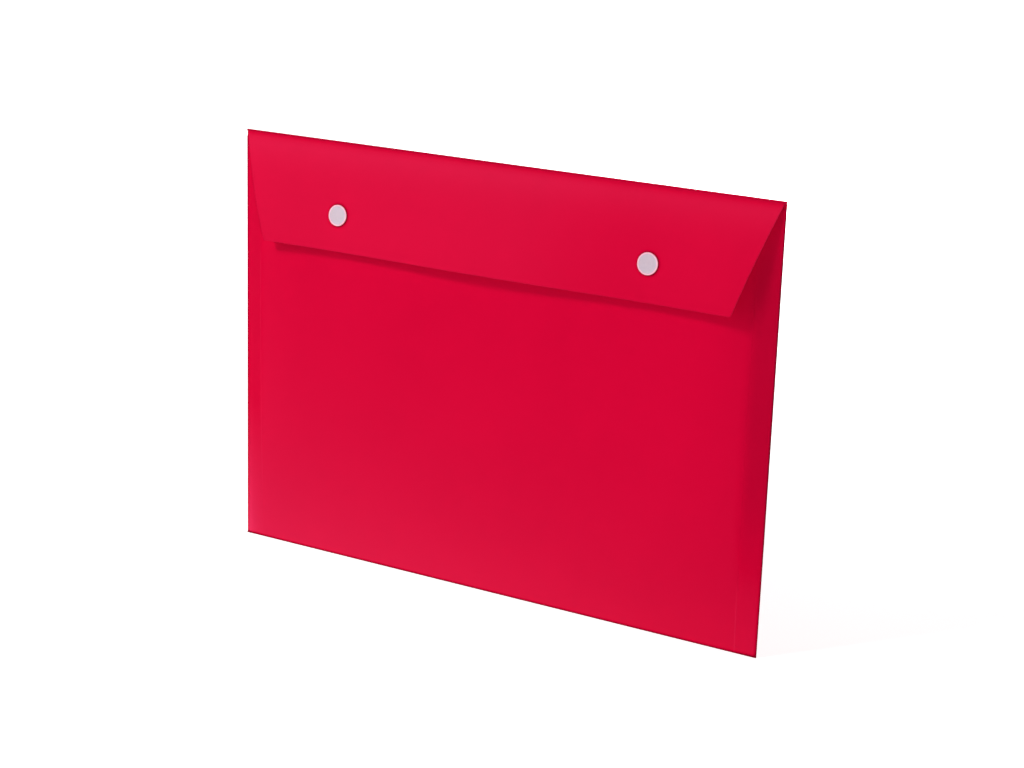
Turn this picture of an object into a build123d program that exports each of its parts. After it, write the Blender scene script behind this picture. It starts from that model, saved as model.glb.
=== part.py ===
from build123d import *
from math import asin, atan2, cos, degrees, hypot, radians, sin
import os

# Sheet, in millimetres
wallet_width = 335
wallet_height = 245
sheet_thickness = 0.5

# Pocket: depths are clear gaps between the inner faces of the back and the front
mouth_drop = 23
lip_height = 36
pocket_depth = 6.8
mouth_depth = 4.6
crease_depth = 3.7
mouth_crease_depth = 3.0
fold_gap = 0.5
gusset_width = 11
shoulder_width = 30
weld_width = 1.5
weld_edge_radius = 0.3
ear_drop = 4
ear_depth = 0.3
ear_width = 12
ear_slant = 12
mouth_corner_radius = 8
bulge_power = 3
bulge_levels = 6

# Flap: its length is measured along the sheet from the crease
flap_length = 61
flap_top_inset = 0.7
flap_side_taper = 20.5
flap_corner_radius = 0.8
flap_bow_radius = 240
crease_clearance = 0.1

# Press studs
stud_inset = 28
stud_below_mouth = 17.2
cap_diameter = 11.8
cap_thickness = 0.8
cap_edge_radius = 0.4
shank_diameter = 2.4
shank_clearance = 0.05
sheet_hole_clearance = 0.1
socket_diameter = 10
socket_height = 2.0
socket_base = 0.7
socket_bore = 5.2
socket_edge_radius = 0.4
socket_seat_clearance = 0.08
stud_gap = 0.5
flange_diameter = 10.4
flange_thickness = 0.6
nose_diameter = 4.2
nose_height = 1.5
nose_crown = 0.6
nose_edge_radius = 0.5
rivet_diameter = 12
rivet_thickness = 0.8
rivet_edge_radius = 0.3
rivet_tip_clearance = 0.1

# One overrun serves all cuts
cut_overrun = 5

# Places that follow from the sizes, with the rear face at y = 0 and the front towards -y
half_width = wallet_width / 2
fold_inner_radius = fold_gap / 2
fold_outer_radius = fold_inner_radius + sheet_thickness
fold_top = fold_outer_radius
mouth_top = wallet_height - mouth_drop
lip_foot = mouth_top - lip_height
weld_inner_x = half_width - weld_width
gusset_crease_x = weld_inner_x - gusset_width
plateau_x = gusset_crease_x - shoulder_width
ear_top = wallet_height - ear_drop
ear_x = weld_inner_x - ear_width
stud_x = plateau_x - stud_inset
flap_top_x = half_width - flap_top_inset
flap_end_x = flap_top_x - flap_side_taper
crease_radius = sheet_thickness
crease_axis = Vector(0, -sheet_thickness, wallet_height - crease_radius)
sheet_hole_radius = shank_diameter / 2 + sheet_hole_clearance
shank_hole_radius = shank_diameter / 2 + shank_clearance
bottom_seat = (Align.CENTER, Align.CENTER, Align.MIN)
top_seat = (Align.CENTER, Align.CENTER, Align.MAX)


def normal(incline):
    """Outward normal of a sheet whose foot leans out by this many degrees."""
    return Vector(0, -cos(radians(incline)), sin(radians(incline)))


# The lip of the front leans back to the mouth, and the studs stand square on it
lip_incline = degrees(atan2(pocket_depth - mouth_depth, lip_height))
stud_height = mouth_top - stud_below_mouth
stud_clear_depth = mouth_depth + (pocket_depth - mouth_depth) * stud_below_mouth / lip_height
stud_foot = Vector(0, -(sheet_thickness + stud_clear_depth + sheet_thickness), stud_height)
stud_stack = flange_thickness + stud_gap + socket_height + socket_seat_clearance
socket_seat = stud_foot + normal(lip_incline) * stud_stack

# The inner face of the flap is an arc from the crease through the socket's seat
flap_chord = socket_seat - crease_axis
chord_incline = degrees(atan2(-flap_chord.Y, -flap_chord.Z))
half_turn = degrees(asin(hypot(flap_chord.Y, flap_chord.Z) / 2 / flap_bow_radius))
top_incline = chord_incline + half_turn
socket_incline = chord_incline - half_turn
end_incline = top_incline - degrees(flap_length / flap_bow_radius)
bow_centre = crease_axis - normal(top_incline) * flap_bow_radius
flap_bottom = bow_centre + normal(end_incline) * flap_bow_radius


def pocket_levels():
    """Height, clear depth and clear depth at the creases, from the bottom fold past the mouth to the ears."""
    levels = []
    for step in range(bulge_levels + 1):
        rise = step / bulge_levels
        bulge = 1 - (1 - rise) ** bulge_power
        height = fold_top + (lip_foot - fold_top) * rise
        depth = fold_gap + (pocket_depth - fold_gap) * bulge
        side_depth = fold_gap + (crease_depth - fold_gap) * bulge
        levels.append((height, depth, side_depth))
    levels.append((mouth_top, mouth_depth, mouth_crease_depth))
    levels.append((ear_top, ear_depth, ear_depth))
    return levels


def front_line(depth, side_depth, skin):
    """One face of the front from weld to weld: flat middle, curved shoulders, then the creased gussets."""
    middle_y = -(sheet_thickness + depth + skin)
    crease_y = -(sheet_thickness + side_depth + skin)
    weld_y = -(sheet_thickness + skin)
    bend_x = (plateau_x + gusset_crease_x) / 2
    line = Curve() + Line((-plateau_x, middle_y), (plateau_x, middle_y))
    for side in (-1, 1):
        crease = (side * gusset_crease_x, crease_y)
        line += Bezier((side * plateau_x, middle_y), (side * bend_x, middle_y), crease)
        line += Line(crease, (side * weld_inner_x, weld_y))
    return line


def front_section(height, depth, side_depth):
    """Level slice through the front panel and its gussets."""
    outline = front_line(depth, side_depth, 0) + front_line(depth, side_depth, sheet_thickness)
    for side in (-1, 1):
        inner_end = (side * weld_inner_x, -sheet_thickness)
        outer_end = (side * weld_inner_x, -2 * sheet_thickness)
        outline += Line(inner_end, outer_end)
    return Pos(0, 0, height) * make_face(outline)


def stud_plane(side):
    """Plane on the outer face of the front panel at one stud, square to that face."""
    origin = stud_foot + Vector(side * stud_x, 0, 0)
    return Plane(origin, x_dir=(1, 0, 0), z_dir=normal(lip_incline))


def socket_plane(side):
    """Plane on the inner face of the flap at one stud, square to the flap there."""
    origin = socket_seat + Vector(side * stud_x, 0, 0)
    return Plane(origin, x_dir=(1, 0, 0), z_dir=normal(socket_incline))


def make_back_panel():
    """Flat rear sheet, full width above the welds and between them below, clear of the rounded crease."""
    between_welds = Pos(0, 0, fold_top) * Box(
        2 * weld_inner_x, sheet_thickness, ear_top - fold_top,
        align=(Align.CENTER, Align.MAX, Align.MIN),
    )
    above_welds = Pos(0, 0, ear_top) * Box(
        wallet_width, sheet_thickness, crease_axis.Z - ear_top,
        align=(Align.CENTER, Align.MAX, Align.MIN),
    )
    return between_welds + above_welds - make_flap_crease()


def make_bottom_fold():
    """Half round turn of the sheet from the back to the front."""
    centre = (-fold_outer_radius, fold_top)
    outer = CenterArc(centre, fold_outer_radius, 180, 180)
    inner = CenterArc(centre, fold_inner_radius, 180, 180)
    ends = Line(outer @ 0, inner @ 0) + Line(outer @ 1, inner @ 1)
    return extrude(Plane.YZ * make_face(outer + inner + ends), half_width, both=True)


def make_mouth_cut():
    """Wide cut that lowers the mouth between the two ears."""
    outline = make_face(Polyline(
        (-(ear_x - ear_slant), mouth_top),
        (ear_x - ear_slant, mouth_top),
        (ear_x, ear_top),
        (ear_x, ear_top + cut_overrun),
        (-ear_x, ear_top + cut_overrun),
        (-ear_x, ear_top),
        close=True,
    ))
    outline = fillet(outline.vertices().group_by(Axis.Y)[0], mouth_corner_radius)
    return extrude(Plane.XZ * outline, pocket_depth + cut_overrun, both=True)


def make_front_panel():
    """Bowed front sheet with its two gussets and the ears beside its mouth, holed for the studs."""
    panel = loft([front_section(*level) for level in pocket_levels()], ruled=True) - make_mouth_cut()
    for side in (-1, 1):
        panel -= stud_plane(side) * Cylinder(sheet_hole_radius, cut_overrun)
    return panel


def make_side_weld(side):
    """Bead that joins the two sheets along one side."""
    bead = Pos(side * (weld_inner_x + weld_width / 2), 0, fold_top) * Box(
        weld_width, 2 * sheet_thickness, ear_top - fold_top,
        align=(Align.CENTER, Align.MAX, Align.MIN),
    )
    outer_edges = bead.edges().filter_by(Axis.Z).sort_by(Axis.X, reverse=side > 0)[:2]
    return fillet(outer_edges, weld_edge_radius)


def make_flap_crease():
    """Rounded living hinge along the top edge."""
    return Pos(crease_axis) * Rot(0, 90, 0) * Cylinder(crease_radius, wallet_width)


def make_flap():
    """Tapered flap, bent to an arc over the mouth and holed for the caps."""
    start_incline = top_incline - degrees((crease_radius + crease_clearance) / flap_bow_radius)
    run_out = degrees(cut_overrun / flap_bow_radius)
    centre = (bow_centre.Y, bow_centre.Z)
    turn = start_incline - end_incline + run_out
    inner = CenterArc(centre, flap_bow_radius, 180 - start_incline, turn)
    outer = CenterArc(centre, flap_bow_radius + sheet_thickness, 180 - start_incline, turn)
    ends = Line(inner @ 0, outer @ 0) + Line(inner @ 1, outer @ 1)
    sheet = extrude(Plane.YZ * make_face(inner + outer + ends), half_width, both=True)
    outline = make_face(Polyline(
        (-flap_top_x, wallet_height),
        (flap_top_x, wallet_height),
        (flap_top_x, crease_axis.Z),
        (flap_end_x, flap_bottom.Z),
        (-flap_end_x, flap_bottom.Z),
        (-flap_top_x, crease_axis.Z),
        close=True,
    ))
    outline = fillet(outline.vertices().group_by(Axis.Y)[0], flap_corner_radius)
    flap = sheet & extrude(Plane.XZ * outline, flap_length, both=True)
    for side in (-1, 1):
        flap -= socket_plane(side) * Cylinder(sheet_hole_radius, cut_overrun)
    return flap


def make_press_cap(side):
    """Disc on the outside of the flap, with the shank that goes through to the socket."""
    disc = Cylinder(cap_diameter / 2, cap_thickness, align=bottom_seat)
    disc = fillet(disc.edges().group_by(Axis.Z)[-1], cap_edge_radius)
    shank_length = sheet_thickness + socket_seat_clearance + socket_base
    shank = Cylinder(shank_diameter / 2, shank_length, align=top_seat)
    return socket_plane(side) * Pos(0, 0, sheet_thickness) * (disc + shank)


def make_press_socket(side):
    """Ring behind the flap that takes the stud's nose."""
    ring = Cylinder(socket_diameter / 2, socket_height, align=top_seat)
    ring = fillet(ring.edges().group_by(Axis.Z)[0], socket_edge_radius)
    bore = Pos(0, 0, -socket_base) * Cylinder(socket_bore / 2, socket_height, align=top_seat)
    shank_hole = Cylinder(shank_hole_radius, socket_height, align=top_seat)
    return socket_plane(side) * Pos(0, 0, -socket_seat_clearance) * (ring - bore - shank_hole)


def make_press_stud(side):
    """Flange and nose on the outside of the front panel."""
    flange = Cylinder(flange_diameter / 2, flange_thickness, align=bottom_seat)
    nose = Cylinder(nose_diameter / 2, flange_thickness + nose_height, align=bottom_seat)
    nose = fillet(nose.edges().group_by(Axis.Z)[-1], nose_edge_radius)
    hole_depth = flange_thickness + nose_height - nose_crown
    shank_hole = Cylinder(shank_hole_radius, hole_depth, align=bottom_seat)
    return stud_plane(side) * (flange + nose - shank_hole)


def make_press_rivet(side):
    """Disc inside the pocket, with the shank that holds the stud on."""
    disc = Cylinder(rivet_diameter / 2, rivet_thickness, align=top_seat)
    disc = fillet(disc.edges().group_by(Axis.Z)[0], rivet_edge_radius)
    hole_depth = flange_thickness + nose_height - nose_crown
    shank_length = sheet_thickness + hole_depth - rivet_tip_clearance
    shank = Cylinder(shank_diameter / 2, shank_length, align=bottom_seat)
    return stud_plane(side) * Pos(0, 0, -sheet_thickness) * (disc + shank)


def make_wallet():
    """Every piece by name, with the origin at the bottom centre of the whole."""
    pieces = {
        "back_panel": make_back_panel(),
        "bottom_fold": make_bottom_fold(),
        "front_panel": make_front_panel(),
        "flap_crease": make_flap_crease(),
        "flap": make_flap(),
    }
    for name, side in (("left", -1), ("right", 1)):
        pieces[f"{name}_side_weld"] = make_side_weld(side)
        pieces[f"{name}_press_cap"] = make_press_cap(side)
        pieces[f"{name}_press_socket"] = make_press_socket(side)
        pieces[f"{name}_press_stud"] = make_press_stud(side)
        pieces[f"{name}_press_rivet"] = make_press_rivet(side)
    box = Compound(children=[piece.solid() for piece in pieces.values()]).bounding_box()
    centring = Pos(0, -box.center().Y, 0)
    print("rear face at y", centring.position.Y, "crease axis at", crease_axis + centring.position)
    return {name: centring * piece for name, piece in pieces.items()}


if __name__ == "__main__":
    os.makedirs("parts", exist_ok=True)
    for name, piece in make_wallet().items():
        export_step(piece, f"parts/{name}.step")
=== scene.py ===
"""Looks of a document wallet: a bowed pocket of red sheet, a creased flap and two white press studs.

Sizes are in millimetres, as on the maker's drawing, and every mesh is written in metres in the frame's axes:
+X to the right seen from the front, +Y to the back, +Z up. A depth is measured forwards from the rear face,
and a way is a distance along the bent flap from its crease.
"""
import logging
from dataclasses import dataclass
from enum import Enum

import bpy
import numpy as np
from mathutils import Matrix, Vector


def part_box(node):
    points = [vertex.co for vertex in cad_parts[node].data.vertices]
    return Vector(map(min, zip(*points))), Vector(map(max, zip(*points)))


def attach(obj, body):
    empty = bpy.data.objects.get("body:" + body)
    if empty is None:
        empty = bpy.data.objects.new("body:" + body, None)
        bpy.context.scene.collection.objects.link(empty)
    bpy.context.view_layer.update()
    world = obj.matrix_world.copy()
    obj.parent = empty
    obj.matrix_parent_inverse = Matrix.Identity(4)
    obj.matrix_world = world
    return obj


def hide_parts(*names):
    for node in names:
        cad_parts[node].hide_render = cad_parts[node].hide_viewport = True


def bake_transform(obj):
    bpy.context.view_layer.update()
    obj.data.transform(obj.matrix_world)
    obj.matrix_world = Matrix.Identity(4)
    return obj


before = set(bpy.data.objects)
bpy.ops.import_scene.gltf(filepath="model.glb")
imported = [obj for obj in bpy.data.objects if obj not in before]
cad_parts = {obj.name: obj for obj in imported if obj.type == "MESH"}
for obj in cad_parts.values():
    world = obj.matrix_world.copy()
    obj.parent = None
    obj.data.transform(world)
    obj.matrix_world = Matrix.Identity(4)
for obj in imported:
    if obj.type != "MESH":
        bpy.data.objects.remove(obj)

Array = np.ndarray
Colour = tuple[float, float, float]
Place = tuple[float, float, float]
Span = tuple[float, float]
Steps = tuple[int, ...]
Output = bpy.types.NodeSocket
Value = float | str | tuple[float, ...] | Output
Piece = bpy.types.Object

MM = 0.001
TINY = 1e-12
WHITE = (1, 1, 1)
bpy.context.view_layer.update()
REAR_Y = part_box("back_panel")[1][1] / MM

logging.basicConfig(level=logging.INFO, format="%(message)s")
log = logging.getLogger("wallet")


class Body(Enum):
    """The two rigid bodies of the wallet."""

    POCKET = "pocket"
    FLAP = "flap"


class Slot(Enum):
    """Finishes that the record names."""

    SHEET = "red_sheet"
    STUD = "white_stud"


class Side(Enum):
    """Left and right half, by the sign of x."""

    LEFT = -1
    RIGHT = 1

    @property
    def word(self) -> str:
        """The side's name in lower case."""
        return self.name.lower()


class End(Enum):
    """Ends of the flap's arc between crease and press studs, by the sign of the turn from its middle."""

    CREASE = 1
    STUD = -1


def spans(places: tuple[float, ...], steps: Steps) -> Array:
    """Stations from place to place.

    Args:
        places: where the runs start and end, in rising order.
        steps: number of equal steps in each run.

    Returns:
        All the stations, in rising order.
    """
    runs = [
        np.linspace(start, end, count, endpoint=False)
        for start, end, count in zip(places[:-1], places[1:], steps, strict=True)
    ]
    return np.concatenate([*runs, places[-1:]])


def mirrored(places: tuple[float, ...], steps: Steps) -> Array:
    """Stations like those of spans, from zero to the right and repeated on the left."""
    half = spans(places, steps)
    return np.concatenate([-half[:0:-1], half])


def smooth_step(value: Array, start: float, end: float) -> Array:
    """Zero before start, one after end, and the cubic 3t^2 - 2t^3 between."""
    share = np.clip((value - start) / (end - start), 0, 1)
    return share * share * (3 - 2 * share)


def hump(value: Array, rise: Span, fall: Span) -> Array:
    """A smooth step up over one span, and down again over another."""
    return smooth_step(value, *rise) * (1 - smooth_step(value, *fall))


def soft_least(first: Array, second: Array, blend: float) -> Array:
    """The lesser of two values, rounded where they cross: -blend * log(exp(-a / blend) + exp(-b / blend))."""
    return -blend * np.logaddexp(-first / blend, -second / blend)


def to_frame(x: Array, depth: Array, z: Array) -> Array:
    """Stacks width, depth in front of the rear face and height into points of the frame, in metres."""
    return np.stack(np.broadcast_arrays(x, REAR_Y - depth, z), axis=-1) * MM


def unit(vectors: Array) -> Array:
    """Vectors divided by their lengths."""
    return vectors / np.maximum(np.linalg.norm(vectors, axis=-1, keepdims=True), TINY)


def strip(start: Array, end: Array) -> Array:
    """Corners of the faces between each row of point numbers and the next, from start to end."""
    return np.stack([start[:-1], end[:-1], end[1:], start[1:]], axis=-1)


def stand(name: str, data: bpy.types.ID) -> Piece:
    """Puts a mesh, lamp or camera into the scene.

    Args:
        name: the object's name.
        data: what it shows.

    Returns:
        The object, at the origin.
    """
    thing = bpy.data.objects.new(name, data)
    bpy.context.scene.collection.objects.link(thing)
    return thing


@dataclass
class Shell:
    """A closed mesh: points, faces of four corners, and one number per point that its finish reads.

    A face that repeats a corner is a triangle.
    """

    points: Array
    quads: Array
    marks: Array

    def trimmed(self) -> "Shell":
        """The same shell without the points that no face uses."""
        used, quads = np.unique(self.quads, return_inverse=True)
        return Shell(self.points[used], quads.reshape(self.quads.shape), self.marks[used])

    def make(self, name: str, material: bpy.types.Material) -> Piece:
        """Puts the mesh into the scene, shaded smooth.

        Args:
            name: the piece's name.
            material: its finish.

        Returns:
            The piece.
        """
        kept = self.quads != np.roll(self.quads, 1, axis=1)
        sizes = kept.sum(axis=1)
        corners = self.quads[kept]
        mesh = bpy.data.meshes.new(name)
        mesh.vertices.add(len(self.points))
        mesh.vertices.foreach_set("co", self.points.astype(np.float32).ravel())
        mesh.loops.add(len(corners))
        mesh.loops.foreach_set("vertex_index", corners.astype(np.int32))
        mesh.polygons.add(len(sizes))
        mesh.polygons.foreach_set("loop_start", (np.cumsum(sizes) - sizes).astype(np.int32))
        mesh.update(calc_edges=True)
        mesh.polygons.foreach_set("use_smooth", np.ones(len(sizes), dtype=bool))
        layer = mesh.attributes.new("mark", "FLOAT", "POINT")
        layer.data.foreach_set("value", self.marks.astype(np.float32))
        mesh.materials.append(material)
        mesh.update()
        return stand(name, mesh)


def close_sheet(middle: Array, thickness: float, marks: Array, cells: Array | None = None) -> Shell:
    """Gives a sheet its thickness and a rounded cut edge.

    The two faces lie half a thickness to either side of the middle surface, along its normal, the cross
    product of the column and row directions. Each free edge is closed by half an ellipse, drawn in so that
    the sheet's outline stays where the middle surface ends.

    Args:
        middle: grid of points, rows by columns by three, in metres.
        thickness: sheet thickness in millimetres.
        marks: one number per grid point for the finish.
        cells: which cells of the grid are sheet; all of them if left out.

    Returns:
        The closed shell, with the side of the normal outwards.
    """
    rows, columns = middle.shape[:2]
    half = thickness * MM / 2
    round_share = 0.6
    rim_steps = 6
    if cells is None:
        cells = np.ones((rows - 1, columns - 1), dtype=bool)
    normals = unit(np.cross(np.gradient(middle, axis=1), np.gradient(middle, axis=0))).reshape(-1, 3)
    flat = middle.reshape(-1, 3)
    index = np.arange(rows * columns).reshape(rows, columns)
    corners = strip(index[:, :-1], index[:, 1:])

    padded = np.pad(cells, 1)
    beyond = [padded[:-2, 1:-1], padded[1:-1, 2:], padded[2:, 1:-1], padded[1:-1, :-2]]
    rim_edges = np.concatenate([
        corners[cells & ~neighbour][:, [turn, (turn + 1) % 4]] for turn, neighbour in enumerate(beyond)
    ])
    along = flat[rim_edges[:, 1]] - flat[rim_edges[:, 0]]
    edge_out = unit(np.cross(along, normals[rim_edges[:, 0]]))
    outwards = np.zeros_like(flat)
    np.add.at(outwards, rim_edges.ravel(), np.repeat(edge_out, 2, axis=0))
    rim = np.unique(rim_edges)
    rim_out = unit(outwards[rim]) * half * round_share

    front = flat + normals * half
    back = flat - normals * half
    front[rim] -= rim_out
    back[rim] -= rim_out
    turn = np.linspace(0, np.pi, rim_steps + 1)[1:-1, None, None]
    loops = flat[rim] + normals[rim] * half * np.cos(turn) + rim_out * (np.sin(turn) - 1)
    count = len(flat)
    loop_index = np.full((rim_steps + 1, count), -1)
    loop_index[0] = np.arange(count)
    loop_index[-1] = np.arange(count) + count
    loop_index[1:-1, rim] = 2 * count + np.arange((rim_steps - 1) * len(rim)).reshape(rim_steps - 1, -1)
    start, end = loop_index[:, rim_edges[:, 0]], loop_index[:, rim_edges[:, 1]]
    rim_quads = strip(end, start).reshape(-1, 4)

    faces = corners[cells]
    quads = np.concatenate([faces, faces[:, ::-1] + count, rim_quads])
    points = np.concatenate([front, back, loops.reshape(-1, 3)])
    face_marks = marks.ravel()
    every_mark = np.concatenate([face_marks, face_marks, np.tile(face_marks[rim], rim_steps - 1)])
    return Shell(points, quads, every_mark).trimmed()


def rounded_profile(corners: list[tuple[float, float, float]], closed: bool = False) -> Array:
    """A profile whose corners are quadratic curves that leave their two sides at a given distance.

    Args:
        corners: two coordinates and the rounding of each corner, in millimetres.
        closed: whether the last corner joins the first. The ends of an open profile stay as they are.

    Returns:
        Points of the profile.
    """
    steps = 6
    table = np.array(corners, dtype=float)
    places, rounding = table[:, :2], table[:, 2:]
    before = (places + unit(np.roll(places, 1, axis=0) - places) * rounding)[:, None]
    after = (places + unit(np.roll(places, -1, axis=0) - places) * rounding)[:, None]
    share = np.linspace(0, 1, steps)[None, :, None]
    curve = (1 - share) ** 2 * before + 2 * share * (1 - share) * places[:, None] + share ** 2 * after
    if closed:
        return curve.reshape(-1, 2)
    return np.concatenate([places[:1], curve[1:-1].reshape(-1, 2), places[-1:]])


def revolve(profile: Array, seat: Matrix, closed: bool = False) -> Shell:
    """Turns a profile of radius and height about the upright axis of a seat.

    A point at radius r, height h and angle a lies at (r cos a, r sin a, h) on the seat. An open profile
    starts and ends on the axis, where all its points of one height become a single pole.

    Args:
        profile: points of radius and height in millimetres, anticlockwise with the radius to the right.
        seat: where the axis stands, in metres.
        closed: whether the profile is a loop, as of a ring.

    Returns:
        The closed shell, marked with each point's radius in millimetres.
    """
    turns = 64
    radius, height = profile[:, :1] * MM, profile[:, 1:] * MM
    angle = np.linspace(0, 2 * np.pi, turns, endpoint=False)[None, :]
    local = np.stack(np.broadcast_arrays(radius * np.cos(angle), radius * np.sin(angle), height), axis=-1)
    axes = np.array(seat)
    points = local.reshape(-1, 3) @ axes[:3, :3].T + axes[:3, 3]
    index = np.arange(len(points)).reshape(len(profile), turns)
    if closed:
        index = np.concatenate([index, index[:1]])
    else:
        index[[0, -1]] = index[[0, -1], :1]
    quads = strip(index, np.roll(index, -1, axis=1)).reshape(-1, 4)
    return Shell(points, quads, np.repeat(profile[:, 0], turns)).trimmed()


def carry(places: Array, marks: Array) -> Shell:
    """Closes a section that is carried along a path, with a fan of triangles over each end.

    Args:
        places: points of the section at each station of the path, in metres, anticlockwise seen against it.
        marks: one number per point for the finish.

    Returns:
        The closed shell.
    """
    stations, count = places.shape[:2]
    points = np.concatenate([places.reshape(-1, 3), places[[0, -1]].mean(axis=1)])
    index = np.arange(stations * count).reshape(stations, count)
    ahead = np.roll(index, -1, axis=1)
    first, last = np.full(count, len(points) - 2), np.full(count, len(points) - 1)
    sides = strip(index, ahead).reshape(-1, 4)
    caps = [
        np.stack([ahead[0], index[0], first, first], axis=-1),
        np.stack([index[-1], ahead[-1], last, last], axis=-1),
    ]
    every_mark = np.concatenate([marks.ravel(), marks[[0, -1]].mean(axis=1)])
    return Shell(points, np.concatenate([sides, *caps]), every_mark)


@dataclass(frozen=True)
class Noise:
    """Cloudy noise: cells per metre, finer layers, span of values used and how much finer along each axis."""

    scale: float
    detail: float
    span: Span = (0, 1)
    stretch: Place = (1, 1, 1)


class Nodes:
    """Short hand for the node tree of a material or of the world."""

    def __init__(self, owner: bpy.types.Material | bpy.types.World, shader: str = "Principled BSDF") -> None:
        """Opens a tree.

        Args:
            owner: the material or world.
            shader: name of the one shader that its tree starts with.
        """
        owner.use_nodes = True
        self.owner = owner
        self.tree = owner.node_tree
        self.shader = self.tree.nodes[shader]

    def feed(self, socket: Output, value: Value) -> None:
        """Links a socket or sets it.

        Args:
            socket: an input of a node.
            value: an output or a constant, with no alpha for a colour.
        """
        if isinstance(value, Output):
            self.tree.links.new(value, socket)
        else:
            socket.default_value = (*value, 1) if socket.type == "RGBA" else value

    def add(self, kind: str, *values: Value, **settings: Value) -> bpy.types.Node:
        """Adds a node.

        Args:
            kind: the node's type.
            values: its first inputs, in their order.
            settings: other inputs by name, with underscores for spaces, or properties of the node.

        Returns:
            The node.
        """
        node = self.tree.nodes.new(kind)
        for socket, value in zip(node.inputs, values):
            self.feed(socket, value)
        for name, value in settings.items():
            socket = node.inputs.get(name.replace("_", " "))
            if socket is None:
                setattr(node, name, value)
            else:
                self.feed(socket, value)
        return node

    def surface(self, **values: Value) -> None:
        """Sets or links sockets of the shader, named with underscores for spaces."""
        for name, value in values.items():
            self.feed(self.shader.inputs[name.replace("_", " ")], value)

    def place(self) -> Output:
        """The object's own coordinates."""
        return self.add("ShaderNodeTexCoord").outputs["Object"]

    def mark(self) -> Output:
        """The number that the shell gives to each point."""
        return self.add("ShaderNodeAttribute", attribute_name="mark").outputs["Fac"]

    def seen(self) -> Output:
        """Tells which rays are seen.

        Returns:
            One for rays from the camera, mirrors and glass, and zero for the rest.
        """
        path = self.add("ShaderNodeLightPath").outputs
        shiny = self.math("MAXIMUM", path["Is Glossy Ray"], path["Is Transmission Ray"])
        return self.math("MAXIMUM", path["Is Camera Ray"], shiny)

    def noise(self, noise: Noise) -> Output:
        """Cloudy noise on the object's own coordinates, about one half on average."""
        place = self.add("ShaderNodeMapping", self.place(), Scale=noise.stretch).outputs["Vector"]
        return self.add("ShaderNodeTexNoise", place, Scale=noise.scale, Detail=noise.detail).outputs["Fac"]

    def ramp(self, value: Output, source: Span, target: Span = (0, 1)) -> Output:
        """Maps a value from the limits of a source range to those of a target range, clamped."""
        return self.add("ShaderNodeMapRange", value, *source, *target).outputs["Result"]

    def math(self, operation: str, first: Output, second: Output) -> Output:
        """Joins two values by an operation of that name."""
        return self.add("ShaderNodeMath", first, second, operation=operation).outputs["Value"]

    def mix(self, share: Output, first: Colour | Output, second: Colour) -> Output:
        """Mixes two colours.

        Args:
            share: how much of the second.
            first: a colour or an output that gives one.
            second: a colour.

        Returns:
            The mixed colour.
        """
        node = self.add("ShaderNodeMix", share, data_type="RGBA")
        near, far, mixed = (socket for socket in [*node.inputs, *node.outputs] if socket.type == "RGBA")
        self.feed(near, first)
        self.feed(far, second)
        return mixed

    def bump(self, height: Output, distance: float, strength: float) -> Output:
        """Bends the normal by fine relief, in which a height of one stands for a distance in metres."""
        node = self.add("ShaderNodeBump", Height=height, Distance=distance, Strength=strength)
        return node.outputs["Normal"]


@dataclass(frozen=True)
class SheetFinish:
    """Satin polypropylene sheet: frosted grain, faint clouding, paler where bent, deep red at the welds, and
    painted light and shade.

    The attribute mark is the share of the pale colour, for whitening and for painted sheen and highlights,
    and below zero the share of the deep colour, for weld melt and for painted shade.
    """

    red: Colour = (0.715, 0.0008, 0.038)
    deep_red: Colour = (0.69, 0.0006, 0.036)
    # pale colour: whitening, and painted sheen and highlights
    whitened_and_sheen: Colour = (1.0, 0.05, 0.168)
    # deep colour: weld melt, and painted shade
    melted_and_shade: Colour = (0.30, 0.0004, 0.020)
    roughness: Span = (0.40, 0.45)
    specular: float = 0.01
    ior: float = 1.49
    clouds: Noise = Noise(14, 3, span=(0.35, 0.65))
    streaks: Noise = Noise(30, 6, span=(0.3, 0.7), stretch=(1, 1, 12))
    grain: Noise = Noise(5200, 2)
    grain_height: float = 0.02 * MM
    grain_strength: float = 0.25

    def material(self) -> bpy.types.Material:
        """Builds the sheet's material.

        Returns:
            The material.
        """
        nodes = Nodes(bpy.data.materials.new("satin_red_sheet"))
        mark = nodes.mark()
        clouds = nodes.ramp(nodes.noise(self.clouds), self.clouds.span)
        streaks = nodes.ramp(nodes.noise(self.streaks), self.streaks.span, self.roughness)
        colour = nodes.mix(clouds, self.red, self.deep_red)
        # The pale colour carries whitening and painted sheen and highlights; the deep colour carries weld
        # melt and painted shade.
        colour = nodes.mix(nodes.ramp(mark, (0, 1)), colour, self.whitened_and_sheen)
        colour = nodes.mix(nodes.ramp(mark, (-1, 0), (1, 0)), colour, self.melted_and_shade)
        nodes.surface(
            Base_Color=colour, Roughness=streaks, IOR=self.ior, Specular_IOR_Level=self.specular,
            Normal=nodes.bump(nodes.noise(self.grain), self.grain_height, self.grain_strength),
        )
        return nodes.owner


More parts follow.
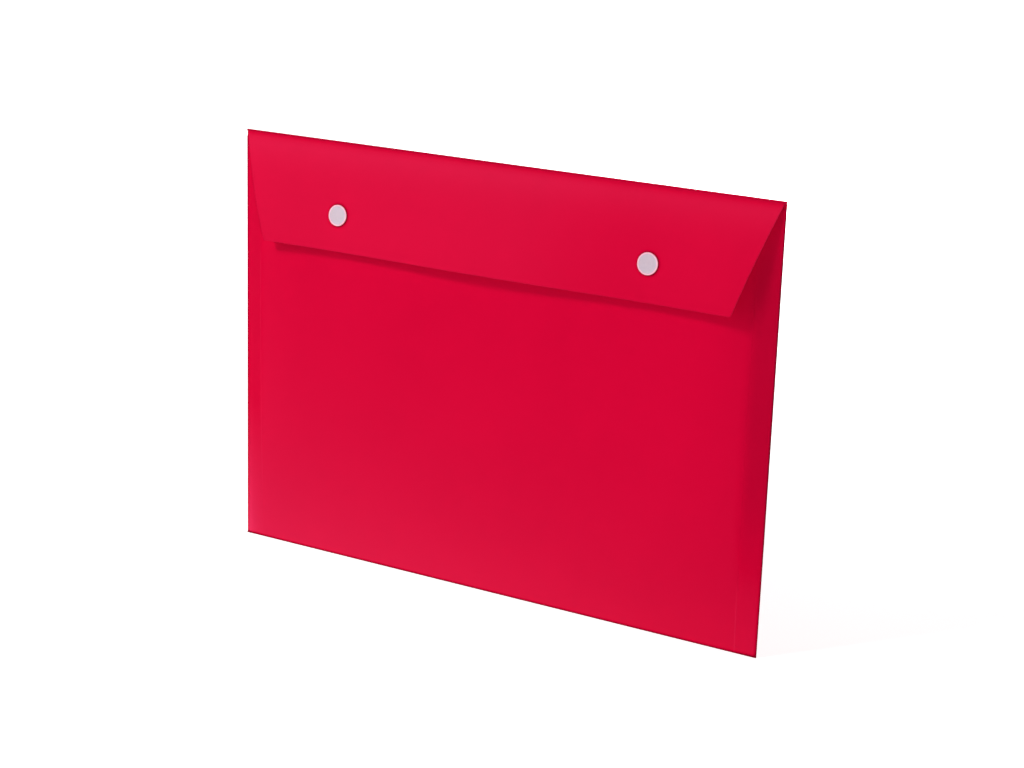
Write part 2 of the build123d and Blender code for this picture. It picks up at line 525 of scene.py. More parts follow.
@dataclass(frozen=True)
class StudFinish:
    """White moulded plastic: slightly grey and faintly mottled on the faces, with a pale pink highlight
    painted on the rim.

    The attribute mark is the distance from the stud's axis in millimetres.
    """

    white: Colour = (0.62, 0.50, 0.58)
    shade: Colour = (0.59, 0.47, 0.55)
    # Painted highlight on the rim, pink as if reflecting the red sheet.
    rim: Colour = (1.0, 0.54, 0.66)
    rim_span: Span = (4.95, 5.3)
    roughness: Span = (0.30, 0.42)
    ior: float = 1.49
    depth_glow: float = 0.15
    glow_depth: float = 1 * MM
    mottle: Noise = Noise(600, 4, span=(0.35, 0.65))
    relief_height: float = 0.03 * MM
    relief_strength: float = 0.2

    def material(self) -> bpy.types.Material:
        """Builds the studs' material.

        Returns:
            The material.
        """
        nodes = Nodes(bpy.data.materials.new("moulded_white_stud"))
        mottle = nodes.noise(self.mottle)
        colour = nodes.mix(nodes.ramp(mottle, self.mottle.span), self.white, self.shade)
        # Painted highlight on the rim.
        colour = nodes.mix(nodes.ramp(nodes.mark(), self.rim_span), colour, self.rim)
        nodes.surface(
            Base_Color=colour, Roughness=nodes.ramp(mottle, self.mottle.span, self.roughness),
            Normal=nodes.bump(mottle, self.relief_height, self.relief_strength),
            IOR=self.ior, Subsurface_Weight=self.depth_glow, Subsurface_Scale=self.glow_depth,
        )
        return nodes.owner


@dataclass(frozen=True)
class Drawing:
    """Sizes that more than one sub-assembly needs."""

    width: float = 335
    height: float = 245
    sheet: float = 0.5
    fold_gap: float = 0.5
    weld_width: float = 1.5
    mouth_drop: float = 23
    lip_height: float = 36
    pocket_depth: float = 6.8
    mouth_depth: float = 4.6
    ear_drop: float = 4
    stud_x: float = 97
    stud_below_mouth: float = 17.2
    flange_thickness: float = 0.6
    stud_gap: float = 0.5
    socket_height: float = 2.0
    cap_radius: float = 5.9
    seat_clearance: float = 0.08
    bow_radius: float = 240
    crease_rise: float = 1.0
    rim_support: float = 0.25
    width_steps: Steps = (60, 1)

    @property
    def half_width(self) -> float:
        """Half the wallet's width."""
        return self.width / 2

    @property
    def columns(self) -> Array:
        """Stations over the whole width, with one close to each edge."""
        return mirrored((0, self.half_width - self.rim_support, self.half_width), self.width_steps)

    @property
    def weld_x(self) -> float:
        """Where the welds start."""
        return self.half_width - self.weld_width

    @property
    def fold_top(self) -> float:
        """Height at which the bottom fold ends, its outer radius."""
        return self.fold_gap / 2 + self.sheet

    @property
    def mouth(self) -> float:
        """Height of the pocket's mouth."""
        return self.height - self.mouth_drop

    @property
    def lip_foot(self) -> float:
        """Height at which the front starts to lean back to the mouth."""
        return self.mouth - self.lip_height

    @property
    def ear_top(self) -> float:
        """Height of the ears beside the mouth."""
        return self.height - self.ear_drop

    @property
    def crease_axis(self) -> Array:
        """Depth and height of the flap's axis."""
        return np.array([self.sheet, self.height - self.sheet])

    @property
    def crease_foot(self) -> float:
        """Height at which the back sheet ends and the crease starts."""
        return self.height - self.sheet - self.crease_rise

    @property
    def lip_incline(self) -> float:
        """How far the front leans back at the mouth, in radians."""
        return np.arctan2(self.pocket_depth - self.mouth_depth, self.lip_height)

    @property
    def stud_foot(self) -> Array:
        """Depth and height of a stud's foot, on the outer face of the leaning front."""
        lean = (self.pocket_depth - self.mouth_depth) * self.stud_below_mouth / self.lip_height
        return np.array([2 * self.sheet + self.mouth_depth + lean, self.mouth - self.stud_below_mouth])

    @property
    def socket_seat(self) -> Array:
        """Depth and height of a socket's seat: a closed stud and socket in front of the stud's foot."""
        stack = self.flange_thickness + self.stud_gap + self.socket_height + self.seat_clearance
        return self.stud_foot + stack * np.array([np.cos(self.lip_incline), np.sin(self.lip_incline)])

    def flap_incline(self, end: End) -> float:
        """Incline of the flap's arc at one end of its chord.

        Args:
            end: which end.

        Returns:
            The chord's incline, more or less half the arc's turn, in radians.
        """
        forwards, upwards = self.socket_seat - self.crease_axis
        half_turn = np.arcsin(np.hypot(forwards, upwards) / 2 / self.bow_radius)
        return np.arctan2(forwards, -upwards) + end.value * half_turn


DRAWING = Drawing()


class Bench:
    """Where shells become pieces: it holds the finishes and lists what was made."""

    def __init__(self) -> None:
        """Mixes the two finishes."""
        self.pieces: list[Piece] = []
        self.finishes = {Slot.SHEET: SheetFinish().material(), Slot.STUD: StudFinish().material()}

    def dress(self, shell: Shell, name: str, slot: Slot, node: str, body: Body | None = None) -> Piece:
        """Gives a shell its finish, in place of the solid that it stands for.

        Args:
            shell: the piece's mesh.
            name: the piece's name.
            slot: the finish that it takes.
            node: the solid that it replaces.
            body: what it rides on. If left out, it still has to be set on something.

        Returns:
            The piece.
        """
        piece = shell.make(name, self.finishes[slot])
        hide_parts(node)
        if body is not None:
            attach(piece, body.value)
        self.pieces.append(piece)
        return piece


@dataclass
class Pocket:
    """Back sheet, bottom fold, bowed front with its gussets, and the welds that close the sides."""

    bench: Bench
    crease_depth: float = 3.7
    mouth_crease_depth: float = 3.0
    ear_depth: float = 0.3
    ear_width: float = 12
    ear_slant: float = 12
    gusset_width: float = 11
    shoulder_width: float = 30
    bulge_power: float = 3
    lip_blend: float = 0.3
    ear_blend: float = 0.1
    crease_blend: float = 0.22
    bend_run: float = 8
    score_height: float = 0.04
    score_width: float = 1.0
    score_white: float = 0.12
    left_bent: Span = (20, 50)
    left_unbent: Span = (165, 190)
    right_unbent: Span = (22, 45)
    # Painted reflection of the floor: pale towards the foot and more to the left.
    foot_sheen: float = 0.2
    sheen_fade: float = 60
    sheen_skew: float = 0.55
    # Painted shade line right above the bottom fold.
    foot_shade: float = -0.6
    foot_line: float = 0.7
    # Stronger painted reflection of the floor at the lower left corner.
    corner_sheen: float = 0.65
    corner_sheen_width: float = 4
    corner_sheen_height: float = 40
    # Painted shade on the gussets, deepest on the right.
    gusset_shade: float = -0.10
    right_shade_share: float = 3
    shade_reach: float = 4
    shade_rise: Span = (30, 100)
    shade_fall: Span = (195, 235)
    weld_melt: float = -1.0
    weld_melt_power: float = 1.5
    # Painted shade over the whole bottom fold.
    fold_shade: float = -0.9
    weld_edge: float = 0.3
    weld_seam: float = 0.1
    weld_ripple: float = 0.015
    ripple_rates: Span = (0.9, 0.37)
    foot_band: float = 2.1
    front_columns: Steps = (36, 22, 8, 12, 1)
    front_rows: Steps = (1, 8, 56, 12, 18, 1)
    back_columns: Steps = (40, 1, 1, 1)
    back_rows: Steps = (1, 60, 2, 1)
    fold_stations: int = 13
    weld_stations: int = 160

    @property
    def crease_x(self) -> float:
        """Where the front is scored."""
        return DRAWING.weld_x - self.gusset_width

    @property
    def plateau_x(self) -> float:
        """Where the flat middle of the front ends."""
        return self.crease_x - self.shoulder_width

    def clear_depth(self, z: Array, deepest: float, at_mouth: float) -> Array:
        """Gap between the sheets up the height.

        From the fold it rises as 1 - (1 - t)^power to its deepest at the foot of the lip, falls evenly to the
        mouth, and then faster to the top of the ears: the least of the three, rounded where they meet.

        Args:
            z: heights.
            deepest: gap at the foot of the lip.
            at_mouth: gap at the mouth.

        Returns:
            The gaps.
        """
        rise = np.clip((z - DRAWING.fold_top) / (DRAWING.lip_foot - DRAWING.fold_top), 0, 1)
        bulge = DRAWING.fold_gap + (deepest - DRAWING.fold_gap) * (1 - (1 - rise) ** self.bulge_power)
        lip = at_mouth + (deepest - at_mouth) * (DRAWING.mouth - z) / DRAWING.lip_height
        ear_share = (DRAWING.ear_top - z) / (DRAWING.ear_top - DRAWING.mouth)
        ear = self.ear_depth + (at_mouth - self.ear_depth) * ear_share
        return soft_least(soft_least(bulge, lip, self.lip_blend), ear, self.ear_blend)

    def top_edge(self, x: Array) -> Array:
        """Upper edge of the front: the mouth in the middle, rising in a smooth step to the ears.

        Args:
            x: widths.

        Returns:
            The heights.
        """
        ear_x = DRAWING.weld_x - self.ear_width
        rise = smooth_step(np.abs(x), ear_x - self.ear_slant, ear_x)
        return DRAWING.mouth + (DRAWING.ear_top - DRAWING.mouth) * rise

    def front_gap(self, x: Array, z: Array) -> Array:
        """Gap behind the front.

        It is flat in the middle and falls with the square of the way over the shoulder. The gusset falls
        straight from the crease to nothing at the weld, and the lesser of the two is the sheet.

        Args:
            x: widths.
            z: heights.

        Returns:
            The gaps.
        """
        middle = self.clear_depth(z, DRAWING.pocket_depth, DRAWING.mouth_depth)
        crease = self.clear_depth(z, self.crease_depth, self.mouth_crease_depth)
        over = np.maximum((np.abs(x) - self.plateau_x) / self.shoulder_width, 0)
        shoulder = middle - (middle - crease) * over ** 2
        gusset = crease * (DRAWING.weld_x - np.abs(x)) / self.gusset_width
        return np.maximum(soft_least(shoulder, gusset, self.crease_blend), 0)

    def score(self, x: Array) -> Array:
        """Height share of the scored bead: a cosine hump about each crease."""
        away = np.clip(np.abs(np.abs(x) - self.crease_x) / (self.score_width / 2), 0, 1)
        return (1 + np.cos(np.pi * away)) / 2

    def wear_and_painted_light(self, x: Array, z: Array) -> Array:
        """Marks of the front: whitening along the creases where they were bent most, and painted light and
        shade.

        The foot carries a painted reflection of the floor, as exp(-z / fade), more to the left, and a
        stronger one at the lower left corner. A painted shade makes it deeper red on the gussets, most on the
        right, and in a thin line right above the bottom fold.

        Args:
            x: widths.
            z: heights.

        Returns:
            The marks, below zero where the sheet is deeper red.
        """
        left_bent = hump(z, self.left_bent, self.left_unbent)
        bent = np.where(x < 0, left_bent, 1 - smooth_step(z, *self.right_unbent))
        # Painted reflection of the floor, pale towards the foot and more to the left.
        low = np.exp(-z / self.sheen_fade) * (1 - self.sheen_skew * x / DRAWING.half_width)
        # Stronger painted reflection of the floor at the lower left corner.
        corner_sheen_share = np.exp(-(DRAWING.half_width + x) / self.corner_sheen_width - z / self.corner_sheen_height)
        pale = self.score_white * self.score(x) * bent + self.foot_sheen * low + self.corner_sheen * corner_sheen_share
        # Painted shade on the gussets, three times as deep on the right, fading out towards the top.
        across = smooth_step(np.abs(x), self.crease_x - self.shade_reach, self.crease_x + self.shade_reach)
        gusset_shade_height = hump(z, self.shade_rise, self.shade_fall)
        strip = across * gusset_shade_height * np.where(x < 0, 1, self.right_shade_share)
        # Painted shade line right above the bottom fold.
        line = np.exp(-((z - DRAWING.fold_top) / self.foot_line) ** 2)
        return pale + self.gusset_shade * strip + self.foot_shade * line

    def build(self) -> None:
        """Makes the pieces of the pocket."""
        for side in Side:
            self.build_weld(side)
        self.build_front()
        self.build_back()
        self.build_fold()

    def build_front(self) -> None:
        """Front sheet with its gussets: its middle is the gap and a sheet and a half before the rear face."""
        support, bead = DRAWING.rim_support, self.score_width / 2
        columns = mirrored((
            0, self.plateau_x, self.crease_x - bead, self.crease_x + bead,
            DRAWING.weld_x - support, DRAWING.weld_x,
        ), self.front_columns)
        foot, bend = DRAWING.fold_top, DRAWING.lip_foot + self.bend_run
        rows = spans((
            foot, foot + support, foot + self.foot_band, DRAWING.lip_foot - self.bend_run, bend,
            DRAWING.mouth - support, DRAWING.mouth,
        ), self.front_rows)
        x, z = np.meshgrid(columns, rows[::-1])
        stretch = (self.top_edge(x) - bend) / (DRAWING.mouth - bend)
        z = np.where(z > bend, bend + (z - bend) * stretch, z)
        depth = DRAWING.sheet * 1.5 + self.front_gap(x, z) + self.score_height * self.score(x)
        shell = close_sheet(to_frame(x, depth, z), DRAWING.sheet, self.wear_and_painted_light(x, z))
        self.bench.dress(shell, "front_sheet", Slot.SHEET, "front_panel", Body.POCKET)

    def build_back(self) -> None:
        """Back sheet: a plane between the welds, and as wide as the wallet above them."""
        support = DRAWING.rim_support
        columns = mirrored((
            0, DRAWING.weld_x - support, DRAWING.weld_x,
            DRAWING.half_width - support, DRAWING.half_width,
        ), self.back_columns)
        foot, top = DRAWING.fold_top, DRAWING.crease_foot
        rows = spans((foot, foot + support, DRAWING.ear_top, top - support, top), self.back_rows)
        x, z = np.meshgrid(columns, rows)
        narrow = np.abs(columns[1:] + columns[:-1]) / 2 < DRAWING.weld_x
        high = (rows[1:] + rows[:-1]) / 2 > DRAWING.ear_top
        middle = to_frame(x, np.array(DRAWING.sheet / 2), z)
        shell = close_sheet(middle, DRAWING.sheet, np.zeros_like(x), narrow[None, :] | high[:, None])
        self.bench.dress(shell, "back_sheet", Slot.SHEET, "back_panel", Body.POCKET)

    def build_fold(self) -> None:
        """Bottom fold: the sheet carried round a half circle under the pocket."""
        x, turn = np.meshgrid(DRAWING.columns, np.linspace(np.pi, 0, self.fold_stations))
        radius = (DRAWING.fold_gap + DRAWING.sheet) / 2
        depth = DRAWING.fold_top - radius * np.cos(turn)
        z = DRAWING.fold_top - radius * np.sin(turn)
        # The whole fold is darkened by painted shade.
        shell = close_sheet(to_frame(x, depth, z), DRAWING.sheet, np.full_like(x, self.fold_shade))
        self.bench.dress(shell, "bottom_fold_sheet", Slot.SHEET, "bottom_fold", Body.POCKET)

    def build_weld(self, side: Side) -> None:
        """Weld: two sheets melted into one bead, a rounded oblong whose edge ripples a little up the side.

        Args:
            side: left or right.
        """
        thick = 2 * DRAWING.sheet
        section = rounded_profile([
            (0, 0, self.weld_seam), (DRAWING.weld_width, 0, self.weld_edge),
            (DRAWING.weld_width, thick, self.weld_edge), (0, thick, self.weld_seam),
        ], closed=True)[::-side.value]
        z = np.linspace(DRAWING.fold_top, DRAWING.ear_top, self.weld_stations)[:, None]
        quick, slow = ((1 + np.sin(z * rate)) / 2 for rate in self.ripple_rates)
        ripple = 1 - self.weld_ripple * quick * slow
        x = side.value * (DRAWING.weld_x + section[None, :, 0] * ripple)
        melt = self.weld_melt * (section[:, 0] / DRAWING.weld_width) ** self.weld_melt_power
        shell = carry(to_frame(x, section[None, :, 1], z), self.wear_and_painted_light(x, z) + melt)
        name, node = f"{side.word}_weld_bead", f"{side.word}_side_weld"
        self.bench.dress(shell, name, Slot.SHEET, node, Body.POCKET)


@dataclass
class Flap:
    """Tapered flap on its scored crease, bowed between and beside the press studs."""

    bench: Bench
    length: float = 61
    top_inset: float = 0.7
    side_taper: float = 20.5
    corner_radius: float = 0.8
    start: float = 0.6
    middle_bow: float = 2.0
    side_bow: float = 1.0
    bow_power: float = 0.8
    margin: float = 4
    edge_step: float = 0.1
    rim_width: float = 0.15
    # Pale cut edge: whitening from the cut and a painted highlight.
    rim_white: float = 0.3
    # Painted sheen over the flap, less towards the right.
    veil: float = 0.07
    veil_loss_share: float = 0.6
    veil_span: Span = (10, 100)
    crease_thickness: float = 0.44
    # Whitening by the crease, partly a painted sheen, and painted shade right at the fold.
    crease_white: float = 0.09
    crease_fade: float = 5
    crease_dark: float = -0.45
    dark_fade: float = 1.4
    # Painted highlight on the right of the crease's fold and painted shade on its left.
    fold_highlight_and_shade: float = 0.35
    fold_highlight_span: Span = (40, 110)
    fold_shade_span: Span = (-20, 60)
    # Painted contact shadow round each cap.
    ring_shadow: float = -0.9
    ring_width: float = 0.85
    ring_reach: float = 8
    inner_columns: Steps = (28, 40, 14)
    edge_columns: Steps = (1, 1, 11)
    flap_rows: Steps = (1, 28, 40, 10, 11, 2)
    rise_rows: Steps = (1, 2)
    turn_stations: int = 14
    tail_stations: int = 4

    @property
    def stud_way(self) -> float:
        """Way from the axis to the press studs: the arc's radius times its turn."""
        return DRAWING.bow_radius * (DRAWING.flap_incline(End.CREASE) - DRAWING.flap_incline(End.STUD))

    def inner_line(self, way: Array) -> tuple[Array, Array, Array]:
        """Inner face of the flap along its arc.

        At a way from the axis the sheet has turned by way / radius from its first incline, on a circle
        through the axis.

        Args:
            way: ways along the sheet.

        Returns:
            Depth, height and incline at each way.
        """
        first = DRAWING.flap_incline(End.CREASE)
        incline = first - way / DRAWING.bow_radius
        depth = DRAWING.crease_axis[0] + DRAWING.bow_radius * (np.cos(incline) - np.cos(first))
        z = DRAWING.crease_axis[1] + DRAWING.bow_radius * (np.sin(incline) - np.sin(first))
        return depth, z, incline

    def half_at(self, way: Array) -> Array:
        """Half width of the flap, falling evenly with the height.

        Args:
            way: ways along the sheet.

        Returns:
            The half widths.
        """
        top = DRAWING.crease_axis[1]
        bottom = self.inner_line(np.array(self.length))[1]
        fallen = (top - self.inner_line(way)[1]) / (top - bottom)
        return DRAWING.half_width - self.top_inset - self.side_taper * fallen

    def bow(self, x: Array, way: Array) -> Array:
        """How far the sheet stands out from its arc, growing from the crease down.

        Between the studs it is a squared cosine, beside them a smooth rise, and nothing at the studs.

        Args:
            x: widths.
            way: ways along the sheet.

        Returns:
            The distances along the normal.
        """
        between = np.cos(np.clip(x / DRAWING.stud_x, -1, 1) * np.pi / 2) ** 2
        corner_x = DRAWING.half_width - self.top_inset - self.side_taper
        beside = smooth_step(np.abs(x), DRAWING.stud_x, corner_x)
        grown = smooth_step(way, 0, self.length) ** self.bow_power
        return (self.middle_bow * between + self.side_bow * beside) * grown

    def crease_whitening_and_shade(self, way: Array) -> Array:
        """Marks beside the fold: a hump of whitening t exp(1 - t), partly a painted sheen, and a painted
        shade right at the fold.
        """
        rise = way / self.crease_fade
        return self.crease_white * rise * np.exp(1 - rise) + self.crease_dark * np.exp(-way / self.dark_fade)

    def cap_shadow_ring(self, x: Array, way: Array) -> Array:
        """Painted contact shadow round each cap: exp(-t^2), with t the distance from the cap's edge."""
        away = np.hypot(np.abs(x) - DRAWING.stud_x, way - self.stud_way) - DRAWING.cap_radius
        return self.ring_shadow * np.exp(-(away / self.ring_width) ** 2)

    def grid(self) -> tuple[Array, Array, Array]:
        """Widths and ways of the flap's grid, with its two lower corners rounded.

        Columns near the sides keep their distance from them, and the others share out the width, closer
        together at the press studs. In the square at each corner, offsets a and b become a sqrt(1 - b^2 / 2)
        and b sqrt(1 - a^2 / 2), which takes the square to a quarter disc.

        Returns:
            The grids of width, way and marks: whitening, painted sheen and highlights, and painted shade and
                shadow.
        """
        at_stud = self.half_at(np.array(self.stud_way)) - self.margin
        near, far = ((DRAWING.stud_x + reach) / at_stud for reach in (-self.ring_reach, self.ring_reach))
        inner = mirrored((0, near, far, 1), self.inner_columns)
        gaps = spans((0, self.edge_step, 2 * self.edge_step, self.margin), self.edge_columns)[:-1]
        share = np.concatenate([np.full(len(gaps), -1), inner, np.ones(len(gaps))])
        side_gap = np.concatenate([gaps, np.full(len(inner), self.margin), gaps[::-1]])
        ways = spans((
            self.start, self.start + DRAWING.rim_support, self.stud_way - self.ring_reach,
            self.stud_way + self.ring_reach, self.length - self.margin,
            self.length - 2 * self.edge_step, self.length,
        ), self.flap_rows)
        share, way = np.meshgrid(share, ways)
        gap = np.broadcast_to(side_gap, share.shape)
        rim = np.minimum(gap, self.length - way) < self.rim_width
        across = share * DRAWING.half_width
        # Painted sheen over the flap, less towards the right.
        veil = self.veil * (1 - self.veil_loss_share * smooth_step(across, *self.veil_span))
        # The cut edge is paler: whitening from the cut and a painted highlight.
        white = veil + self.rim_white * rim + self.crease_whitening_and_shade(way)
        over = np.clip(1 - gap / self.corner_radius, 0, 1)
        down = np.clip(1 - (self.length - way) / self.corner_radius, 0, 1)
        corner = (over > 0) & (down > 0)
        round_over = over * np.sqrt(1 - down ** 2 / 2)
        round_down = down * np.sqrt(1 - over ** 2 / 2)
        gap = np.where(corner, self.corner_radius * (1 - round_over), gap)
        way = np.where(corner, self.length - self.corner_radius * (1 - round_down), way)
        half = self.half_at(way)
        x = np.where(gap < self.margin, np.sign(share) * (half - gap), share * (half - self.margin))
        return x, way, white + self.cap_shadow_ring(x, way)

    def build(self) -> None:
        """Makes the flap and its crease."""
        self.build_flap()
        self.build_crease()

    def build_flap(self) -> None:
        """Flap: its arc moved out by half a sheet and by the bow, along the normal."""
        x, way, white = self.grid()
        depth, z, incline = self.inner_line(way)
        out = DRAWING.sheet / 2 + self.bow(x, way)
        middle = to_frame(x, depth + out * np.cos(incline), z + out * np.sin(incline))
        shell = close_sheet(middle, DRAWING.sheet, white)
        self.bench.dress(shell, "flap_sheet", Slot.SHEET, "flap", Body.FLAP)

    def build_crease(self) -> None:
        """Crease: the sheet carried from the back over the axis to the flap.

        The path is a straight run up, an arc about the axis and the start of the flap's arc. The sheet is
        pressed a little thinner from its inside.
        """
        radius = DRAWING.sheet - self.crease_thickness / 2
        axis_depth, axis_z = DRAWING.crease_axis
        foot = DRAWING.crease_foot
        rise = spans((foot, foot + self.edge_step, axis_z), self.rise_rows)[:-1]
        turn = np.linspace(0, np.pi - DRAWING.flap_incline(End.CREASE), self.turn_stations)
        tail_ways = np.linspace(0, self.start, self.tail_stations)[1:]
        tail_depth, tail_z, tail_incline = self.inner_line(tail_ways)
        depth = np.concatenate([
            np.full(len(rise), axis_depth - radius), axis_depth - radius * np.cos(turn),
            tail_depth + radius * np.cos(tail_incline),
        ])
        z = np.concatenate([rise, axis_z + radius * np.sin(turn), tail_z + radius * np.sin(tail_incline)])
        x = np.tile(DRAWING.columns, (len(z), 1))
        over = smooth_step(np.arange(len(z))[:, None], len(z) / 2, len(z))
        # Painted highlight on the right of the fold and painted shade on its left.
        behind = smooth_step(x, *self.fold_highlight_span) + smooth_step(x, *self.fold_shade_span) - 1
        marks = self.fold_highlight_and_shade * behind * (1 - over) + self.crease_whitening_and_shade(np.zeros_like(x)) * over
        shell = close_sheet(to_frame(x, depth[:, None], z[:, None]), self.crease_thickness, marks)
        piece = self.bench.dress(shell, "crease_fold", Slot.SHEET, "flap_crease")
        limits = to_frame(np.zeros(2), axis_depth + np.array([-radius, radius]), np.array(axis_z))
        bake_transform(piece)


@dataclass
class PressStuds:
    """Two press studs, each of a cap and a socket on the flap and a stud and a rivet on the front."""

    bench: Bench
    cap_thickness: float = 0.8
    cap_dish: float = 0.14
    cap_rim: float = 1.0
    cap_lift: float = 0.25
    shank_radius: float = 1.2
    hole_radius: float = 1.25
    socket_radius: float = 5.0
    socket_base: float = 0.7
    bore_radius: float = 2.6
    snap_lip: float = 0.18
    lip_height: float = 0.4
    lip_slope: float = 0.3
    flange_radius: float = 5.2
    nose_radius: float = 2.1
    neck_radius: float = 1.85
    neck_height: float = 0.4
    neck_slope: float = 0.35
    nose_height: float = 1.5
    nose_crown: float = 0.6
    rivet_radius: float = 6.0
    rivet_thickness: float = 0.8
    tip_clearance: float = 0.1
    sharp: float = 0.05
    crisp: float = 0.1
    eased: float = 0.2
    soft: float = 0.3
    crown: float = 0.5

    def seat(self, side: Side, foot: Array, incline: float, out: float) -> Matrix:
        """Axes square to a leaning sheet: across the width, up the sheet, and out along its normal.

        Args:
            side: left or right stud.
            foot: depth and height of the point on the sheet.
            incline: how far the sheet leans back, in radians.
            out: how far in front of that point the seat lies.

        Returns:
            The seat's matrix, in metres.
        """
        lean, rise = np.sin(incline), np.cos(incline)
        depth, z = foot + out * np.array([rise, lean])
        axes = Matrix(((1, 0, 0), (0, lean, -rise), (0, rise, lean))).to_4x4()
        return Matrix.Translation(to_frame(np.array(side.value * DRAWING.stud_x), depth, z)) @ axes

    def cap_profile(self) -> Array:
        """Cap: a shank, and a disc with a rounded rim round a face that is dished a little.

        Returns:
            Its profile.
        """
        foot = -(DRAWING.sheet + DRAWING.seat_clearance + self.socket_base)
        face = self.cap_thickness - self.cap_dish
        inner = DRAWING.cap_radius - self.cap_rim
        return rounded_profile([
            (0, foot, 0), (self.shank_radius, foot, self.eased), (self.shank_radius, 0, self.crisp),
            (inner, 0, self.soft), (DRAWING.cap_radius, self.cap_lift, self.crisp),
            (DRAWING.cap_radius, self.cap_thickness, self.eased), (inner, face, self.crown), (0, face, 0),
        ])

    def socket_profile(self) -> Array:
        """Socket: a ring with a base against the flap, a bore for the nose and a snap lip in its mouth.

        Returns:
            Its profile.
        """
        base, end = -self.socket_base, -DRAWING.socket_height
        lip, neck = self.bore_radius - self.snap_lip, end + self.lip_height
        return rounded_profile([
            (self.hole_radius, base, self.sharp), (self.bore_radius, base, self.crisp),
            (self.bore_radius, neck + self.lip_slope, self.crisp), (lip, neck, self.crisp),
            (self.bore_radius, end, self.eased), (self.socket_radius, end, self.soft),
            (self.socket_radius, 0, self.crisp), (self.hole_radius, 0, self.sharp),
        ], closed=True)

    def stud_profile(self) -> Array:
        """Stud: a flange and a nose with a drawn-in neck, hollow from below for the rivet's shank.

        Returns:
            Its profile.
        """
        flange, top = DRAWING.flange_thickness, DRAWING.flange_thickness + self.nose_height
        ceiling, neck = top - self.nose_crown, flange + self.neck_height
        return rounded_profile([
            (0, ceiling, 0), (self.hole_radius, ceiling, self.crisp), (self.hole_radius, 0, self.sharp),
            (self.flange_radius, 0, self.crisp), (self.flange_radius, flange, self.eased),
            (self.neck_radius, flange, self.eased), (self.neck_radius, neck, self.crisp),
            (self.nose_radius, neck + self.neck_slope, self.crisp), (self.nose_radius, top, self.crown),
            (0, top, 0),
        ])

    def rivet_profile(self) -> Array:
        """Rivet: a flat disc against the inside of the front, and a shank into the stud.

        Returns:
            Its profile.
        """
        tip = DRAWING.flange_thickness + self.nose_height - self.nose_crown - self.tip_clearance
        under = -DRAWING.sheet
        bottom = under - self.rivet_thickness
        return rounded_profile([
            (0, bottom, 0), (self.rivet_radius, bottom, self.soft), (self.rivet_radius, under, self.crisp),
            (self.shank_radius, under, self.crisp), (self.shank_radius, tip, self.eased), (0, tip, 0),
        ])

    def build(self) -> None:
        """Makes the fittings of both studs."""
        for side in Side:
            self.build_side(side)

    def build_side(self, side: Side) -> None:
        """Lathes the cap, socket, stud and rivet of one side onto their seats.

        Args:
            side: left or right.
        """
        on_flap = (DRAWING.socket_seat, DRAWING.flap_incline(End.STUD))
        on_front = (DRAWING.stud_foot, DRAWING.lip_incline)
        outside = self.seat(side, *on_flap, DRAWING.sheet)
        inside = self.seat(side, *on_flap, -DRAWING.seat_clearance)
        front = self.seat(side, *on_front, 0)
        lathed = {
            "cap": (revolve(self.cap_profile(), outside), Body.FLAP),
            "socket": (revolve(self.socket_profile(), inside, closed=True), Body.FLAP),
            "stud": (revolve(self.stud_profile(), front), Body.POCKET),
            "rivet": (revolve(self.rivet_profile(), front), Body.POCKET),
        }
        for kind, (shell, body) in lathed.items():
            self.bench.dress(shell, f"{side.word}_{kind}", Slot.STUD, f"{side.word}_press_{kind}", body)


@dataclass(frozen=True)
class Lamp:
    """A square soft box: where it hangs in metres, its side and its power in watts."""

    name: str
    place: Place
    size: float
    power: float
    aim: Place = (0, 0, 0.12)

    def hang(self) -> None:
        """Adds the lamp, its face square to the line to its aim."""
        light = bpy.data.lights.new(self.name, "AREA")
        light.size = self.size
        light.energy = self.power
        turn = (Vector(self.place) - Vector(self.aim)).to_track_quat("Z", "Y")
        stand(self.name, light).matrix_world = Matrix.LocRotScale(self.place, turn, None)


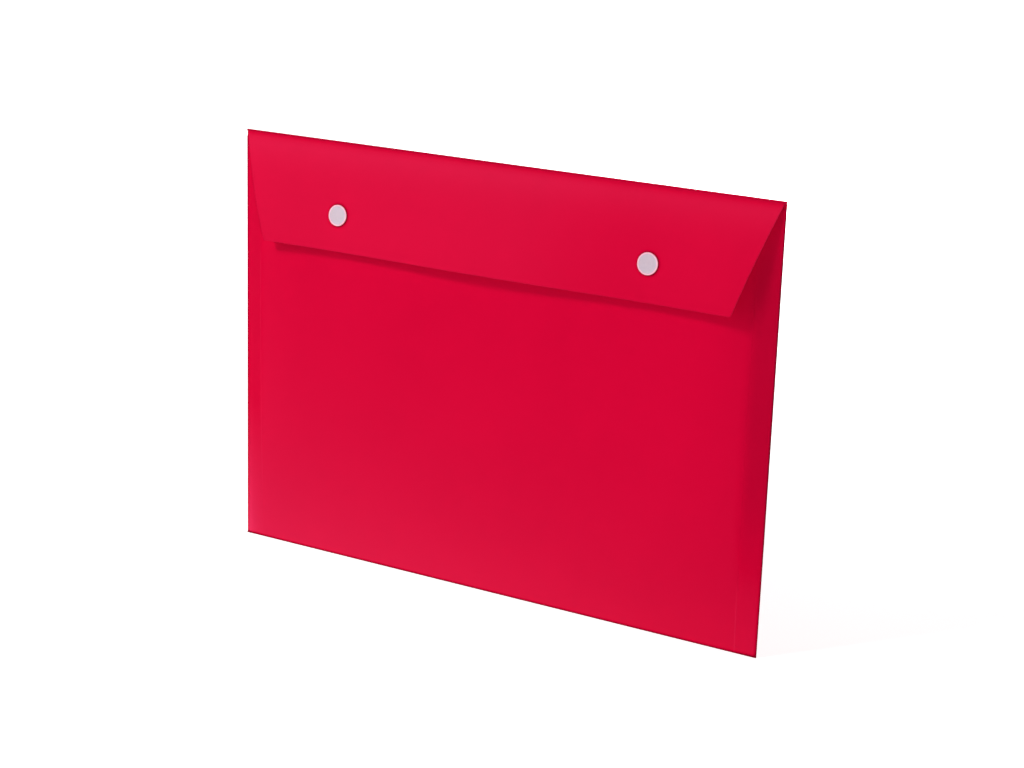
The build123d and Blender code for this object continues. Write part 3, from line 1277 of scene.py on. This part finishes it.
@dataclass
class Studio:
    """Floor, soft light and the camera at the photograph's angle."""

    lamps: tuple[Lamp, ...] = (
        Lamp("key", (-0.85, -1.06, 1.33), size=0.38, power=17.5),
        Lamp("left_fill", (-1.0, -1.1, 0.42), size=0.8, power=4.6),
        Lamp("right_fill", (0.9, -1.1, 0.22), size=0.4, power=5.9),
        Lamp("back_light", (-0.3, 1.6, 0.36), size=0.6, power=22),
    )
    floor_size: float = 6.0
    floor_colour: Colour = (0.85, 0.85, 0.85)
    floor_roughness: float = 0.8
    floor_glow: Span = (0.68, 1.0)
    glow_reach: Span = (0.35, 0.9)
    camera_place: Place = (0.576, -0.968, 0.4439)
    camera_down: float = 15.8771
    camera_turn: float = 30.0367
    camera_roll: float = 1.9263
    lens: float = 75.1045
    sensor: float = 36

    def build(self) -> None:
        """Sets up the scene around the wallet."""
        self.build_floor()
        self.build_world()
        for lamp in self.lamps:
            lamp.hang()
        self.build_camera()

    def build_floor(self) -> None:
        """Pale floor: white where it is seen, a little less near the wallet so that the shadow shows."""
        size = self.floor_size
        corners = [(-size, -size, 0), (size, -size, 0), (size, size, 0), (-size, size, 0)]
        mesh = bpy.data.meshes.new("floor")
        mesh.from_pydata(corners, [], [(0, 1, 2, 3)])
        nodes = Nodes(bpy.data.materials.new("white_floor"))
        away = nodes.add("ShaderNodeVectorMath", nodes.place(), operation="LENGTH").outputs["Value"]
        glow = nodes.ramp(away, self.glow_reach, self.floor_glow)
        nodes.surface(
            Base_Color=self.floor_colour, Roughness=self.floor_roughness, Emission_Color=WHITE,
            Emission_Strength=nodes.math("MULTIPLY", glow, nodes.seen()),
        )
        mesh.materials.append(nodes.owner)
        stand("floor", mesh)

    def build_world(self) -> None:
        """Surroundings that are white where they are seen and light nothing."""
        nodes = Nodes(bpy.data.worlds.new("studio"), "Background")
        nodes.surface(Color=WHITE, Strength=nodes.seen())
        bpy.context.scene.world = nodes.owner

    def build_camera(self) -> None:
        """Camera looking down and to the left at the wallet, tilted a little about its own axis."""
        data = bpy.data.cameras.new("camera")
        data.lens = self.lens
        data.sensor_width = self.sensor
        camera = stand("camera", data)
        camera.matrix_world = (
            Matrix.Translation(self.camera_place)
            @ Matrix.Rotation(np.radians(self.camera_turn), 4, "Z")
            @ Matrix.Rotation(np.radians(90 - self.camera_down), 4, "X")
            @ Matrix.Rotation(np.radians(self.camera_roll), 4, "Z")
        )
        bpy.context.scene.camera = camera


def main() -> None:
    """Builds the wallet and its studio, and notes how many faces each piece has."""
    bench = Bench()
    for assembly in (Pocket(bench), Flap(bench), PressStuds(bench)):
        assembly.build()
    for piece in bench.pieces:
        log.info("%s: %d faces", piece.name, len(piece.data.polygons))
    Studio().build()
    bpy.context.scene.view_settings.view_transform = "Standard"


if __name__ == "__main__":
    main()
